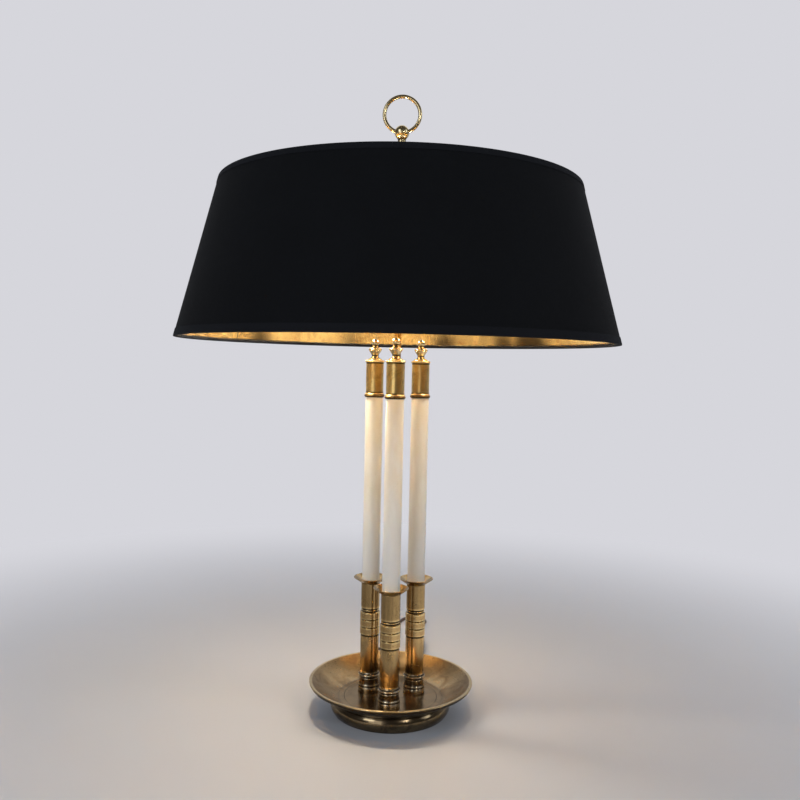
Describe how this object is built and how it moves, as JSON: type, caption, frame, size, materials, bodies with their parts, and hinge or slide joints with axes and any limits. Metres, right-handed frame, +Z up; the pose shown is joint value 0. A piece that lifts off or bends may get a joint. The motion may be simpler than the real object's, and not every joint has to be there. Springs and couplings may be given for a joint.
{
  "type": "bouillotte table lamp",
  "caption": "Bouillotte table lamp: brass-capped candle columns on a round dish, and a wide dark drum shade that slides and turns on a central rod with a ring handle.",
  "frame": {"origin": "on the table, at the middle of the foot", "axes": "+Z up along the centre rod, -Y towards the front candle column, +X to the right"},
  "size_m": [0.4999, 0.5984, 0.7105],
  "materials": {
    "foot_brass": "satin",
    "iron": "matte",
    "felt": "matte",
    "tray_brass": "satin",
    "column_brass": "satin",
    "candle_ivory": "satin",
    "polished_brass": "polished",
    "steel": "satin",
    "rod_brass": "satin",
    "holder_black": "satin",
    "bulb_glass": "satin",
    "base_metal": "satin",
    "wire_cover": "satin",
    "shade_wire": "satin",
    "shade_fabric": "matte",
    "gilt_paper": "gloss",
    "edge_tape": "matte",
    "cord_brown": "satin",
    "bush_rubber": "matte",
    "plug_brown": "satin",
    "pin_metal": "satin"
  },
  "bodies": {
    "lamp": {"foot_ring": "foot_brass", "weight_ring": "iron", "felt_pad": "felt", "tray": "tray_brass", "column_base_1": "column_brass", "column_base_2": "column_brass", "column_base_3": "column_brass", "column_stem_1": "column_brass", "column_stem_2": "column_brass", "column_stem_3": "column_brass", "drip_pan_1": "column_brass", "drip_pan_2": "column_brass", "drip_pan_3": "column_brass", "candle_1": "candle_ivory", "candle_2": "candle_ivory", "candle_3": "candle_ivory", "candle_cap_1": "polished_brass", "candle_cap_2": "polished_brass", "candle_cap_3": "polished_brass", "finial_1": "polished_brass", "finial_2": "polished_brass", "finial_3": "polished_brass", "tie_rods": "steel", "tie_nuts": "steel", "tie_washers": "steel", "rod_nut": "steel", "centre_rod": "rod_brass", "rod_collar": "rod_brass", "cluster_body": "rod_brass", "cluster_cap": "rod_brass", "cluster_screw": "rod_brass", "lampholder_left": "holder_black", "lampholder_right": "holder_black", "bulb_left": "bulb_glass", "bulb_right": "bulb_glass", "bulb_bases": "base_metal", "inner_flex": "wire_cover", "cord_lead": "cord_brown", "cord_coil": "cord_brown", "cord_end": "cord_brown", "cord_bush": "bush_rubber", "plug_body": "plug_brown", "switch_base": "plug_brown", "switch_cover": "plug_brown", "plug_pins": "pin_metal", "switch_screws": "pin_metal"},
    "carrier": {"shade_carrier": "rod_brass", "lock_ring": "rod_brass"},
    "key": {"clamp_key": "rod_brass"},
    "shade": {"spider_hub": "rod_brass", "spider_arms": "rod_brass", "shade_wires": "shade_wire", "shade_shell": "shade_fabric", "shade_lining": "gilt_paper", "shade_tapes": "edge_tape"},
    "knob": {"knob": "polished_brass", "ring_handle": "polished_brass"},
    "rocker": {"switch_rocker": "plug_brown"}
  },
  "joints": [
    {"name": "shade_slide", "type": "slide", "parent": "lamp", "child": "carrier", "axis": [0, 0, 1], "range_m": [-0.055, 0.035]},
    {"name": "shade_turn", "type": "hinge", "parent": "carrier", "child": "shade", "pos_m": [0, 0, 0.59], "axis": [0, 0, 1], "continuous": true},
    {"name": "key_turn", "type": "hinge", "parent": "carrier", "child": "key", "pos_m": [0.0141, 0.0141, 0.574], "axis": [0.7071, 0.7071, 0], "range_deg": [-360, 0]},
    {"name": "knob_turn", "type": "hinge", "parent": "lamp", "child": "knob", "pos_m": [0, 0, 0.65], "axis": [0, 0, 1], "range_deg": [0, 360]},
    {"name": "switch_rock", "type": "hinge", "parent": "lamp", "child": "rocker", "pos_m": [0.025, 0.206, 0.0135], "axis": [1, 0, 0], "range_deg": [-18, 0]}
  ]
}
